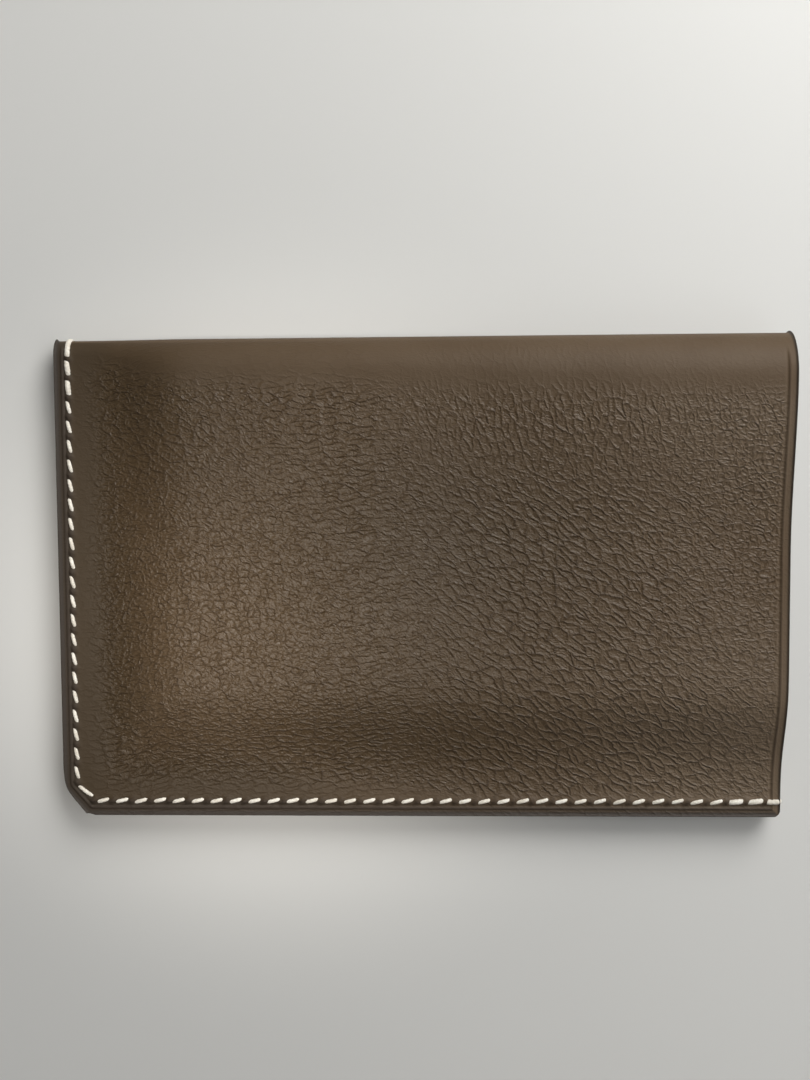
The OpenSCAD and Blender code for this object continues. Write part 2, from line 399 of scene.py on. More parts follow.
# Height of the swell: three crossed sine waves that fade to nothing at the seams and the fold.
def swell(a, b, side, shape=frontSwell):
    toFold = smooth((sheetWidth - shape["foldInset"] - b) / shape["foldFade"])
    toMouth = smooth((sheetLength - a + shape["pastMouth"]) / shape["mouthFade"])
    inside = rise(a) * rise(b) * toFold * toMouth
    longA, phaseA, longB, phaseB = shape["longWaves"]
    crossA, crossB, crossShare = shape["crossWaves"]
    shortB, shortA, phase, shortShare = shape["shortWaves"]
    wave = (np.sin(a / longA + phaseA) * np.sin(b / longB + phaseB)
            + crossShare * np.sin(a / crossA + b / crossB)
            + shortShare * np.sin(b / shortB - a / shortA + phase))
    return shape["height"] * wave * inside * (side > 0.99)


# Where the leather's grain and colour change, and where shade and light are painted into its colour, in the
# case's own measures.
leatherMap = {
    # each field: place along, place across, half widths along and across, strength
    "pebble": [(24, 30, 19, 21, 0.85), (104, 46, 17, 30, 0.75)],
    "slant": (18, 54, 16, 10, 0.8),
    # painted shade: fields where the leather is coloured darker and warmer
    "paintedShadeFields": [(6, 60, 26, 18, 0.75), (56, 40, 28, 22, 0.9), (52, 10, 28, 13, 0.6)],
    "sewnEnd": (25, 40),          # where the look of the sewn end fades, and over how far
    "smoothAtSide": (2.6, 6.5, 0.12),    # the same for the grain, and the share that is left
    "smoothAtSeam": (2.2, 1.8, 0.3),
    "smoothAtSewnEnd": 4.5,       # how much wider that fade is at the sewn end
    "smoothAtMouth": (1.0, 1.2, 0.2),
    "smoothAtFold": (0.9, 5.0, 0.14),
    "uprightAlong": (40, 26),
    "uprightAcross": (44, 12),
    "slantAlong": (40, 24),
    "slantEnds": (88, 14, 0.35),
    # the painted shade in the pressed line is weaker beside the mouth by this share
    "mouthPress": 0.55,           # how strongly the pressed line shows beside the mouth
    "paintOver": (0.85, 0.4),     # edge paint rubbed over the edge
    "burnish": (1.7, 0.5, 0.5),
    "seamShade": (2.6, 0.7, 0.3, 0.35),
    "mouthPaint": (0.42, 0.4),
    # painted shade towards the sewn short edge and the sewn long edge, stronger at the sewn end
    "paintedShadeSide": (17.0, 13.0, 0.3),
    "paintedShadeSeam": (15.0, 11.0, 0.9),
    # painted light: a lighter colour towards the mouth end, low on the leaf and in a band below the fold
    "paintedLightAlong": (100, 26, 0.95),
    "paintedLightLow": (10, 18),
    "paintedLightHigh": (56, 14, 0.75),
}


# A round field: strength times a bell along and a bell across.
def field(a, b, spot):
    placeA, placeB, widthA, widthB, strength = spot
    return strength * bell(a - placeA, widthA) * bell(b - placeB, widthB)


# A smooth step up from least to 1, which starts at a place and takes a length.
def after(value, start, over, least=0):
    return least + (1 - least) * smooth((value - start) / over)


# A smooth step down from share to 0, which ends at a place.
def before(value, start, over, share=1):
    return share * smooth((start - value) / over)


# The masks that the leather's finish reads, one value for each point of the outer grid.
def putMasks(put, a, b, side, crease, dimple, where):
    toMouth = sheetLength - a
    sewnEnd = 1 - after(a, *where["sewnEnd"])
    start, over, least = where["smoothAtSeam"]
    border = after(a, *where["smoothAtSide"])
    border = border * after(b, start, over + where["smoothAtSewnEnd"] * sewnEnd, least)
    border = border * after(toMouth, *where["smoothAtMouth"])
    lap, foldOver, least = where["smoothAtFold"]
    toCrest = crestPlace(a) + lap * sewnEnd - b
    nearFold = np.where(np.abs(side) > 0.99, after(toCrest, 0, foldOver, least), least)
    put("grainDepth", border * nearFold)
    upright = after(a, *where["uprightAlong"]) * after(b, *where["uprightAcross"])
    pebble = np.maximum(*[field(a, b, spot) for spot in where["pebble"]])
    start, over, lost = where["slantEnds"]
    slant = after(a, *where["slantAlong"]) * (1 - lost * after(a, start, over)) * (1 - upright)
    slant = np.maximum(slant, field(a, b, where["slant"])) * (1 - pebble)
    upright = upright * (1 - pebble)
    put("uprightGrain", upright)
    put("slantGrain", slant)
    put("pebbleGrain", pebble)
    put("levelGrain", np.clip(1 - upright - slant - pebble, 0, 1))
    fromEdge = edgeDistance(a, b)
    atMouth = toMouth < fromEdge + 0.01
    # the pressed line and the stitch holes, which take painted shade
    put("pressed", np.clip(crease * np.where(atMouth, where["mouthPress"], 1.0) + dimple, 0, 1))
    onLeaf = np.abs(side) > 0.5
    stained = np.maximum(before(fromEdge, *where["paintOver"]), before(fromEdge, *where["burnish"]))
    start, over, least, more = where["seamShade"]
    stained = np.maximum(stained, before(fromEdge, start, over, least + more * sewnEnd))
    sideStain = np.maximum(before(a, *where["paintOver"]), before(a, *where["burnish"]))
    mouthStain = before(toMouth, *where["mouthPaint"])
    put("nearEdge", np.where(onLeaf, np.where(atMouth, mouthStain, stained),
                             np.maximum(mouthStain, sideStain)))
    # Painted shade: a darker, warmer colour in broad fields and towards the sewn edges.
    shadeAmount = sum(field(a, b, spot) for spot in where["paintedShadeFields"])
    start, over, least = where["paintedShadeSide"]
    shadeAmount = np.maximum(shadeAmount, before(a, start, over, least + (1 - least) * sewnEnd))
    start, over, share = where["paintedShadeSeam"]
    shadeAmount = np.maximum(shadeAmount, before(b, start, over, share * sewnEnd))
    put("paintedShade", np.clip(shadeAmount, 0, 1) * onLeaf)
    # Painted light: a lighter colour towards the mouth end, low on the leaf and in a band that fades out
    # before the fold.
    place, width, share = where["paintedLightHigh"]
    high = share * bell(b - place, width) * after(toCrest, 0, foldOver)
    place, width = where["paintedLightLow"]
    paintedLight = np.maximum(bell(b - place, width), high)
    place, width, share = where["paintedLightAlong"]
    put("paintedLight", share * bell(a - place, width) * paintedLight * onLeaf)


# The plain sheet, moved along its normals by the relief and upwards by the swell.
def buildOuterLeather(shape):
    step = shape["innerStep"]
    margin = shape["margin"]
    columns = evenCount(spread(0, [shape["sideRim"], margin,
                                   (sheetLength - shape["mouthReach"], shape["frontStep"]),
                                   (sheetLength, shape["mouthStep"])]), step)
    front = spread(0, [shape["frontRim"], margin, (sheetWidth, shape["frontStep"])])
    back = spread(0, [shape["backRim"], shape["backMargin"], (sheetWidth, shape["backStep"])])
    rolls = shape["rollSteps"]
    while (len(front) + len(back) + rolls - 1) % step:
        rolls += 1
    a, b, z, side = sheetGrid(columns, back, rolls, front, 0)
    base = toPlace(a, b, z)
    normals = gridNormals(base)
    relief, crease, dimple = leatherRelief(a, b, side, shape)
    base[..., 2] += swell(a, b, side)
    outer = base + normals * relief[..., None]
    outer[..., 2] = np.maximum(outer[..., 2], 0)
    inner = toPlace(*sheetGrid(columns, back, rolls, front, outerThickness)[:3])
    inner[..., 2] += swell(a, b, side)
    points, faces = closedSheet(outer, inner, step)
    piece = makePiece("outerLeather", points, faces)
    spare = len(points) - a.size
    # developed place in centimetres: along the case, and round from the back's long edge
    length = np.concatenate([np.zeros((len(columns), 1)),
                             np.cumsum(np.linalg.norm(np.diff(base, axis=1), axis=2), axis=1)], axis=1)
    developed = np.stack([a, length], axis=-1).reshape(-1, 2) / 10
    setDeveloped(piece, np.concatenate([developed, np.zeros((spare, 2))]))

    def put(name, values):
        layer = piece.data.attributes.new(name, "FLOAT", "POINT")
        whole = np.concatenate([values.ravel(), np.zeros(spare)])
        layer.data.foreach_set("value", whole.astype(np.float32))

    putMasks(put, a, b, side, crease, dimple, leatherMap)
    return piece


outer = buildOuterLeather(outerLeather)

print("stage: lining and stiffener")
innerSheets = {"step": 1.2, "margin": (4.2, 0.6), "mouth": (2.0, 0.5), "rollSteps": 22}


# A folded sheet between two depths below the leather's face.
def buildInnerSheet(name, outerDepth, innerDepth, shape):
    mouthReach, mouthStep = shape["mouth"]
    columns = spread(0, [shape["margin"], (sheetLength - mouthReach, shape["step"]),
                         (sheetLength, mouthStep)])
    steps = spread(0, [shape["margin"], (sheetWidth, shape["step"])])
    points = []
    for depth in (outerDepth, innerDepth):
        a, b, z, side = sheetGrid(columns, steps, shape["rollSteps"], steps, depth)
        points.append(toPlace(a, b, z + swell(a, b, side)))
    return makePiece(name, *closedSheet(points[0], points[1], 1))


liningDepth = outerThickness + stiffenerThickness
lining = buildInnerSheet("liningLeather", liningDepth, leafThickness, innerSheets)
stiffener = buildInnerSheet("stiffenerSheet", outerThickness, liningDepth, innerSheets)

print("stage: painted edges")
edgeCoat = {
    "bulge": 0.34,
    "squareness": 0.5,       # power of the cosine that shapes the bulge
    "groove": 0.05,          # the faint line where the two leaves meet
    "grooveWidth": 0.22,
    "inset": 0.5,            # how far the bead's flat back lies inside the leather
    "sunk": 0.22,            # how far the bead as a whole sits back from the cut edge
    "backHigh": 0.6,         # half height of the flat back
    "thinnest": 0.35,        # share of the bulge that is left at the ends
    "foldEndStart": 0.3,     # how far short of the fold the bead has closed
    "foldEndReach": 3.0,
    "partingStart": 0.6,     # where the bead closes beside the mouth, and over how far
    "partingFade": 1.8,
    "thinner": 0.04,         # taken off half the seam's height
    "mouthThinner": 0.18,    # the same on the single leaf beside the mouth
    "mouthOffset": 0.12,     # how much nearer it lies there to the lining side
    "sides": 22,
    "step": 0.25,
    "sideStep": 0.12,
    "cutEnd": (3.0, 0.15),   # finer steps this far beyond the cut
    "mouthTurn": 1.2,        # and before the mouth
    "longStep": 0.4,
    "turnStep": 0.03,
    "mouthStep": 0.5,
    "mouthStart": 0.6,
    "mouthEnds": (4.2, 0.3),
    "mouthRest": 0.6,
    "mouthRollSteps": 40,
}


# Faces of a tube: rings of points around a path, with a cap at both ends.
def tubeFaces(count, sides):
    i, j = np.meshgrid(np.arange(count - 1), np.arange(sides), indexing="ij")
    k, n = (i * sides + j).ravel(), (i * sides + (j + 1) % sides).ravel()
    quads = np.stack([k, n, n + sides, k + sides], axis=1).tolist()
    ends = [list(range(sides - 1, -1, -1)), list(range((count - 1) * sides, count * sides))]
    return quads + ends


# Several tubes as one piece.
def joinTubes(name, tubes):
    points, faces, first = [], [], 0
    for rings in tubes:
        count, sides = rings.shape[:2]
        points.append(rings.reshape(-1, 3))
        faces += [[first + v for v in face] for face in tubeFaces(count, sides)]
        first += count * sides
    return makePiece(name, np.concatenate(points), faces)


# Resamples a path of points at even steps.
def evenly(path, step):
    length = np.concatenate([[0], np.cumsum(np.linalg.norm(np.diff(path, axis=0), axis=1))])
    at = np.linspace(0, length[-1], max(2, round(length[-1] / step)) + 1)
    return np.stack([np.interp(at, length, path[:, n]) for n in range(path.shape[1])], axis=1)


# Flat vectors, a quarter turn clockwise.
def toTheRight(vectors):
    return np.stack([vectors[:, 1], -vectors[:, 0]], axis=1)


# Section of a bead: a bulge shaped by a power of the cosine, less a bell-shaped groove,
# and a flat back. Gives how far out each point lies, and how high from -1 to 1.
def beadSection(shape, groove):
    turn = np.linspace(-math.pi / 2, math.pi / 2, shape["sides"] - 2)
    out = shape["bulge"] * np.cos(turn) ** shape["squareness"]
    out = out - groove * bell(np.sin(turn), shape["grooveWidth"])
    out = np.concatenate([out, [-shape["inset"], -shape["inset"]]])
    return out, np.concatenate([np.sin(turn), [shape["backHigh"], -shape["backHigh"]]])


# The sewn edge: the outline in plan with a rounded, slightly grooved section.
def buildSewnEdge(shape):
    down = spread(sheetWidth - shape["foldEndStart"], [(caseShape["cutSoftening"], shape["sideStep"])])
    left = np.stack([sheetStart(down), down], axis=1)
    bottom = spread(0.0, [shape["cutEnd"], (sheetLength - shape["mouthTurn"], shape["longStep"]),
                          (sheetLength, shape["turnStep"])])[1:]
    start = sheetStart(longEdge(bottom))
    long = np.stack([start + (sheetLength - start) * bottom / sheetLength, longEdge(bottom)], axis=1)
    top = caseShape["seamMargin"] + shape["mouthTurn"]
    up = spread(caseShape["mouthCornerRound"], [(top, shape["cutEnd"][1])])[1:]
    mouth = np.stack([np.full_like(up, sheetLength), up], axis=1)
    path = evenly(np.concatenate([left, long, mouth]), shape["step"])
    tangent = np.gradient(path, axis=0)
    for _ in range(2):  # softens the turns
        tangent[1:-1] = (tangent[:-2] + 2 * tangent[1:-1] + tangent[2:]) / 4
    outward = toTheRight(unit(tangent))
    # the section shrinks round the end of the fold, and to nothing where the leaves part
    almostOne = 0.9999
    toFold = (path[:, 1] - crestPlace(0.0)) / (rollDepth(0.0) - shape["foldEndStart"])
    foldEnd = np.where(path[:, 0] < shape["foldEndReach"], np.clip(toFold, 0, almostOne), 0)
    parting = (path[:, 1] - caseShape["seamMargin"] + shape["partingStart"]) / shape["partingFade"]
    mouthEnd = np.where(path[:, 0] > sheetLength - shape["inset"], np.clip(parting, 0, almostOne), 0)
    size = np.sqrt(1 - np.maximum(foldEnd, mouthEnd) ** 2)
    out, high = beadSection(shape, shape["groove"])
    least = shape["thinnest"]
    reach = (out[None] * (least + (1 - least) * size[:, None])) - shape["sunk"]
    half = sewnThickness / 2 - shape["thinner"]
    plan = path[:, None] + outward[:, None] * reach[..., None]
    z = edgeLift + sewnThickness / 2 + half * size[:, None] * high[None]
    return joinTubes("sewnEdgePaint", [toPlace(plan[..., 0], plan[..., 1], z)])


# The mouth's edge: a bead along the middle of the leaf, from the seam round the fold and back.
def buildMouthEdge(shape):
    steps = spread(shape["mouthStart"], [shape["mouthEnds"], (sheetWidth, shape["mouthRest"])])
    column = np.array([sheetLength])
    a, b, z, side = sheetGrid(column, steps, shape["mouthRollSteps"], steps, leafThickness / 2)
    z = z + swell(a, b, side)
    path = evenly(np.stack([b[0], z[0]], axis=1), shape["mouthStep"])
    across = toTheRight(unit(np.gradient(path, axis=0)))
    out, high = beadSection(shape, 0)
    half = leafThickness / 2 - shape["mouthThinner"]
    section = path[:, None] + across[:, None] * (shape["mouthOffset"] + half * high)[None, :, None]
    x = sheetLength - shape["sunk"] + out[None] + 0 * section[..., 0]
    return joinTubes("mouthEdgePaint", [toPlace(x, section[..., 0], section[..., 1])])


sewnEdge = buildSewnEdge(edgeCoat)
mouthEdge = buildMouthEdge(edgeCoat)

print("stage: stitches")
thread = {
    "radius": threadDiameter / 2 * 0.88,
    "flatness": 0.8,       # height over width of the waxed thread
    "plies": 3,
    "plyDepth": 0.07,
    "twist": 1.5,          # turns of each ply along one stitch
    "sunk": 0.5,           # how far the ends go below the leather
    "proud": 0.1,          # height of the thread's middle above the leather
    "pullIn": 0.27,        # how far inside its two holes the visible stitch begins
    "slant": 0.27,         # how far each end lies to its side of the seam line
    "archPower": 0.42,     # how steeply the stitch dives at its ends
    "taper": 0.2,          # how much narrower the ends are
    "loose": 0.03,         # how unevenly the ends lie
    "backPull": 0.9,       # share of the height that the stitches on the back have
    "doubledThick": 1.4,   # the doubled stitches at both ends of the seam
    "doubledPull": 0.3,
    "doubledSlant": 0.5,
    "loopTwist": 5,
    "loopStep": 0.16,
    "rings": 18,
    "sides": 16,
}


# Rings of points round a path: the section is an oval, and the plies that wind along it
# add to its radius by the size of a cosine of half as many turns.
def threadRings(path, across, over, shape, thick, winding):
    angle = np.linspace(0, 2 * math.pi, shape["sides"], endpoint=False)[None]
    ply = np.abs(np.cos((angle - winding) * shape["plies"] / 2))
    radius = shape["radius"] * thick * (1 - shape["plyDepth"] + shape["plyDepth"] * 2 * ply)
    return (path[:, None] + across[:, None] * (radius * np.cos(angle))[..., None]
            + over[:, None] * (shape["flatness"] * radius * np.sin(angle))[..., None])


# One stitch: the thread's middle runs from start to end and rises as a power of a half sine.
def stitchRings(start, end, level, up, shape, thick, phase):
    t = np.linspace(0, 1, shape["rings"])[:, None]
    arch = np.sin(math.pi * np.clip(t, 0.001, 0.999)) ** shape["archPower"]
    middle = np.concatenate([start + (end - start) * t, 0 * t], axis=1)
    middle[:, 2] = level + up * (-shape["sunk"] + (shape["sunk"] + shape["proud"]) * arch[:, 0])
    tangent = unit(np.gradient(middle, axis=0))
    across = unit(np.cross(tangent, np.array([0, 0, 1.0])))
    width = 1 - shape["taper"] + shape["taper"] * np.sin(math.pi * t) ** 0.5
    return threadRings(middle, across, np.cross(across, tangent), shape, thick * width,
                       2 * math.pi * shape["twist"] * t - phase)


# Every other stitch on the front, from the first one given, and those between on the back.
def seamStitches(first, shape):
    rng = np.random.default_rng(11 + first)
    rings = []
    last = len(holes) - 2
    for k in range(len(holes) - 1):
        front = k % 2 == first
        turnSide = 1 if front else -1
        d = unit(holes[k + 1] - holes[k])
        n = np.array([-d[1], d[0]])
        jitter = rng.normal(0, shape["loose"], 4)
        doubled = k < 2 or k > last - 2
        pull = shape["pullIn"] * (shape["doubledPull"] if doubled else 1)
        slant = shape["slant"] * (shape["doubledSlant"] if doubled else 1)
        thick = shape["doubledThick"] if doubled else 1.0
        start = holes[k] + d * (pull + jitter[0]) - n * turnSide * (slant + jitter[1]) + leatherLow[:2]
        end = holes[k + 1] - d * (pull + jitter[2]) + n * turnSide * (slant + jitter[3]) + leatherLow[:2]
        level = edgeLift + sewnThickness if front else edgeLift
        up = 1 if front else -shape["backPull"]
        rings.append(stitchRings(start, end, level, up, shape, thick, rng.uniform(0, 6)))
    return rings


firstThread = joinTubes("firstNeedleThread", seamStitches(0, thread))
secondThread = joinTubes("secondNeedleThread", seamStitches(1, thread))


# A closed loop of thread through a hole and round an edge, given as points of its middle.
def loopRings(path, across, shape, thick):
    path = evenly(np.concatenate([path, path[:1]]), shape["loopStep"])
    over = unit(np.cross(unit(np.gradient(path, axis=0)), across))
    t = np.linspace(0, 1, len(path))[:, None]
    return threadRings(path, across[None], over, shape, thick, 2 * math.pi * shape["loopTwist"] * t)


endLoops = {
    "over": 0.08,          # how far the thread lies over the seam
    "pastFold": 0.05,
    "pastMouth": 0.1,
    "inHole": 0.1,         # how far back in its hole the fold's loop runs
    "turnIn": 0.35,        # where each loop turns into its hole
    "sink": 0.02,          # how much it sinks on its way to the edge
    "foldSteps": 24,
    "foldThick": 1.35,
    "mouthThick": 1.4,
}


# Round the end of the fold as half an ellipse, and back through the first hole.
def buildFoldLoop(shape, loop):
    a = sideInset
    low, high = edgeLift, edgeLift + sewnThickness + loop["over"]
    centre, half = (low + high) / 2, (high - low) / 2
    turn = np.linspace(math.pi / 2, -math.pi / 2, loop["foldSteps"])
    b = crestPlace(a) + (rollDepth(a) + loop["pastFold"]) * np.cos(turn)
    z = centre + half * np.sin(turn)
    inside, outside = firstHoleB - loop["inHole"], firstHoleB + loop["turnIn"]
    hole = np.array([[inside, centre], [inside, high - loop["turnIn"]], [outside, high - loop["sink"]]])
    tail = np.array([[outside, low + loop["sink"]], [inside, low + loop["turnIn"]]])
    section = np.concatenate([hole, np.stack([b, z], axis=1), tail])
    path = toPlace(np.full(len(section), a), section[:, 0], section[:, 1])
    return joinTubes("foldEndLoop", [loopRings(path, np.array([-1.0, 0, 0]), shape, loop["foldThick"])])


# Round the seam's open end with softened corners, and back through the last hole.
def buildMouthLoop(shape, loop):
    low, high = edgeLift, edgeLift + sewnThickness + loop["over"]
    out = sheetLength + loop["pastMouth"]
    over = np.array([[lastHoleA, high - loop["turnIn"]], [lastHoleA + 0.4, high],
                     [out - 0.45, high - loop["sink"]], [out - 0.1, high - 0.3], [out, high - 0.7]])
    under = over[::-1] * [1, -1] + [0, low + high]
    section = np.concatenate([[[lastHoleA, (low + high) / 2]], over, under])
    path = toPlace(section[:, 0], np.full(len(section), longInset), section[:, 1])
    return joinTubes("mouthEndLoop", [loopRings(path, np.array([0, 1.0, 0]), shape, loop["mouthThick"])])


foldLoop = buildFoldLoop(thread, endLoops)
mouthLoop = buildMouthLoop(thread, endLoops)


print("stage: finishes")


# A socket that takes part in ordinary expressions.
class Value:
    def __init__(self, finish, socket):
        self.finish = finish
        self.socket = socket

    def maths(self, operation, first, second):
        return self.finish.node("ShaderNodeMath", {"operation": operation}, {0: first, 1: second})

    def __add__(self, other):
        return self.maths("ADD", self, other)

    def __radd__(self, other):
        return self.maths("ADD", other, self)

    def __sub__(self, other):
        return self.maths("SUBTRACT", self, other)

    def __rsub__(self, other):
        return self.maths("SUBTRACT", other, self)

    def __mul__(self, other):
        return self.maths("MULTIPLY", self, other)

    def __rmul__(self, other):
        return self.maths("MULTIPLY", other, self)


# A material and its nodes.
class Finish:
    def __init__(self, name):
        self.material = bpy.data.materials.new(name)
        self.material.use_nodes = True
        self.tree = self.material.node_tree
        self.tree.nodes.clear()

    def node(self, kind, settings=None, sockets=None, output=0):
        made = self.tree.nodes.new(kind)
        for key, value in (settings or {}).items():
            setattr(made, key, value)
        for key, value in (sockets or {}).items():
            if isinstance(value, Value):
                self.tree.links.new(value.socket, made.inputs[key])
            else:
                made.inputs[key].default_value = value
        return Value(self, made.outputs[output]) if len(made.outputs) else None

    def mask(self, name):
        return self.node("ShaderNodeAttribute", {"attribute_name": name}, output="Fac")

    def between(self, value, low, high, start=0.0, end=1.0):
        return self.node("ShaderNodeMapRange", {"interpolation_type": "SMOOTHSTEP"},
                         {"Value": value, "From Min": low, "From Max": high, "To Min": start, "To Max": end})

    def blend(self, factor, first, second):
        return self.node("ShaderNodeMix", {"data_type": "RGBA"}, {0: factor, 6: first, 7: second}, output=2)

    def noise(self, place, scale, detail=2.0, rough=0.5, flat=True, output=0):
        return self.node("ShaderNodeTexNoise", {"noise_dimensions": "2D" if flat else "3D"},
                         {"Vector": place, "Scale": scale, "Detail": detail, "Roughness": rough}, output)

    def surface(self, settings):
        shader = self.node("ShaderNodeBsdfPrincipled", {}, settings)
        self.node("ShaderNodeOutputMaterial", {}, {"Surface": shader})
        return self.material


leatherLook = {
    "colour": (0.092, 0.057, 0.028, 1),
    "worn": (0.120, 0.080, 0.045, 1),
    # the colour of the painted shade
    "paintedShadeColour": (0.050, 0.031, 0.013, 1),
    # the colour of the painted light
    "paintedLightColour": (0.145, 0.103, 0.065, 1),
    # the colour of the painted shade in the creases, the pressed line and the stitch holes
    "creaseShadeColour": (0.036, 0.022, 0.012, 1),
    "edgeColour": (0.040, 0.030, 0.022, 1),
    "cellSize": 1.2,          # millimetres across a cell
    # mask, size of the cells, stretch, turn in degrees, shift, how strongly the creases show
    "grains": [
        ("pebbleGrain", 0.8, 1.25, 0, 3.1, 0.8),
        ("levelGrain", 0.9, 2.2, -4, 7.7, 1.0),
        ("slantGrain", 1.1, 2.0, 36, 1.3, 1.0),
        ("uprightGrain", 1.05, 1.6, 78, 5.9, 0.6),
    ],
    "sway": [(4.0, 0.09), (21.0, 0.03)],    # scale and amount of the waves in the creases
    "creaseWidth": 0.14,      # share of a cell
    "creaseDepth": 0.075,
    # how strongly painted shade darkens the creases, and the pressed line and holes
    "creaseShade": 0.55,
    "pressedShade": 0.9,
    "domeWidth": 0.3,
    "domeHeight": 0.10,
    "smallCells": (0.42, 1.4, 15, 4.4, 0.42),
    "smallWidth": 0.35,
    "microDepth": 0.018,
    "microScale": 80.0,
    "patchScale": 6.0,        # where the creases thin out, from the first value of the noise
    "patchRange": (0.38, 0.6, 0.15, 1.0),    # to the second, and how much of them is left
    "toneScale": 0.9,
    "toneRange": (0.3, 0.7),
    "toneShare": 0.4,
    "refraction": 1.42,
    "roughness": 0.39,
    "valleyRoughness": 0.65,
    "smoothRoughness": 0.26,  # added where there is no grain
    "microRoughness": 0.12,
}


perCentimetre = 10    # the developed place is in centimetres, and the cells in millimetres


# The distance to the nearest border of a stretched and turned field of cells. The
# stretch also narrows them, by its fourth root.
def cellBorders(finish, place, size, stretch, angle, offset):
    turned = finish.node("ShaderNodeMapping", {"vector_type": "TEXTURE"},
                         {"Vector": place, "Location": (offset, offset * 0.7, 0), "Rotation": (0, 0, angle),
                          "Scale": (stretch, stretch ** -0.25, 1)})
    return finish.node("ShaderNodeTexVoronoi", {"feature": "DISTANCE_TO_EDGE", "voronoi_dimensions": "2D"},
                       {"Vector": turned, "Scale": perCentimetre / size, "Randomness": 0.95})


# Creases lie where a cell's border is near and domes rise away from it. Each grain counts
# where its own mask is high.
def leatherFinish(look):
    finish = Finish("pebbledCalf")
    flat = finish.node("ShaderNodeUVMap", {"uv_map": "developed"})

    def swayed(place, scale, amount):
        sway = finish.noise(place, scale, output="Color")
        middle = (0.5, 0.5, 0.5)
        centred = finish.node("ShaderNodeVectorMath", {"operation": "SUBTRACT"}, {0: sway, 1: middle})
        shift = finish.node("ShaderNodeVectorMath", {"operation": "SCALE"}, {0: centred, "Scale": amount})
        return finish.node("ShaderNodeVectorMath", {"operation": "ADD"}, {0: place, 1: shift})

    place = flat
    for scale, amount in look["sway"]:
        place = swayed(place, scale, amount)
    size = look["cellSize"]
    patchy = finish.between(finish.noise(flat, look["patchScale"], 3.0, 0.6), *look["patchRange"])
    creases = 0.0
    domes = 0.0
    for name, share, stretch, turn, shift, strength in look["grains"]:
        borders = cellBorders(finish, place, size * share, stretch, math.radians(turn), shift)
        mask = finish.mask(name)
        creases = finish.between(borders, 0.0, look["creaseWidth"], strength, 0.0) * mask + creases
        domes = finish.between(borders, 0.0, look["domeWidth"]) * mask + domes
    share, stretch, turn, shift, strength = look["smallCells"]
    small = cellBorders(finish, place, size * share, stretch, math.radians(turn), shift)
    domes = domes + finish.between(small, 0.0, look["smallWidth"]) * strength
    creases = creases * patchy
    micro = finish.noise(flat, look["microScale"], 3.0, 0.6)
    grain = finish.mask("grainDepth")
    height = grain * (domes * look["domeHeight"] - creases * look["creaseDepth"]) + micro * look["microDepth"]
    normal = finish.node("ShaderNodeBump", {}, {"Strength": 1.0, "Distance": mm, "Height": height})
    tone = finish.between(finish.noise(flat, look["toneScale"], 3.0, 0.55), *look["toneRange"])
    colour = finish.blend(tone * look["toneShare"], look["colour"], look["worn"])
    # painted shade blended into the colour
    colour = finish.blend(finish.mask("paintedShade"), colour, look["paintedShadeColour"])
    # painted light blended into the colour
    colour = finish.blend(finish.mask("paintedLight"), colour, look["paintedLightColour"])
    # painted shade in the grain's creases, the pressed line and the stitch holes
    shade = creases * grain * look["creaseShade"] + finish.mask("pressed") * look["pressedShade"]
    dark = finish.node("ShaderNodeClamp", {}, {"Value": shade})
    colour = finish.blend(dark, colour, look["creaseShadeColour"])
    colour = finish.blend(finish.mask("nearEdge"), colour, look["edgeColour"])
    rough = look["roughness"] + dark * (look["valleyRoughness"] - look["roughness"])
    rough = rough + (micro - 0.5) * look["microRoughness"] + (1 - grain) * look["smoothRoughness"]
    return finish.surface({"Base Color": colour, "Roughness": rough, "Normal": normal,
                           "IOR": look["refraction"]})


# Two colours, a fine and a broad noise and the fine one's share, where the first colour
# turns into the second, and the fine noise's bump and roughness.
liningLook = {
    "colours": ((0.062, 0.045, 0.034, 1), (0.085, 0.064, 0.049, 1)),
    "fine": (900.0, 3.0, 0.6), "broad": 60.0, "fineShare": 0.4, "turns": (0.35, 0.65),
    "bump": (0.5, 0.00005), "roughness": (0.6, 0.1),
}
edgeLook = {
    "colours": ((0.022, 0.017, 0.013, 1), (0.040, 0.031, 0.024, 1)),
    "fine": (420.0, 2.0, 0.5), "broad": 90.0, "fineShare": 0.0, "turns": (0.35, 0.65),
    "bump": (0.6, 0.00006), "roughness": (0.44, 0.15),
}
threadLook = {
    "colours": ((0.72, 0.66, 0.56, 1), (0.90, 0.86, 0.77, 1)),
    "fine": (2600.0, 3.0, 0.6), "broad": 500.0, "fineShare": 0.6, "turns": (0.38, 0.62),
    "bump": (0.5, 0.00004), "roughness": (0.5, 0.12),
}
stiffenerLook = {"colours": ((0.28, 0.25, 0.21, 1), (0.38, 0.35, 0.30, 1)), "fibre": (700.0, 4.0, 0.7)}


def plainFinish(name, look):
    finish = Finish(name)
    place = finish.node("ShaderNodeTexCoord", output="Object")
    fine = finish.noise(place, *look["fine"], False)
    broad = finish.noise(place, look["broad"], flat=False)
    tone = finish.between(broad * (1 - look["fineShare"]) + fine * look["fineShare"], *look["turns"])
    strength, distance = look["bump"]
    normal = finish.node("ShaderNodeBump", {}, {"Strength": strength, "Distance": distance, "Height": fine})
    rough, more = look["roughness"]
    colour = finish.blend(tone, *look["colours"])
    return finish.surface({"Base Color": colour, "Roughness": rough + fine * more, "Normal": normal})


def stiffenerFinish(look):
    finish = Finish("bondedFibre")
    place = finish.node("ShaderNodeTexCoord", output="Object")
    fibre = finish.noise(place, *look["fibre"], False)
    return finish.surface({"Base Color": finish.blend(fibre, *look["colours"]), "Roughness": 0.9})


# A piece's finish, and the node that it stands for.
def dress(piece, material, node):
    piece.data.materials.append(material)
    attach(piece, "root")
    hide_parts(node)


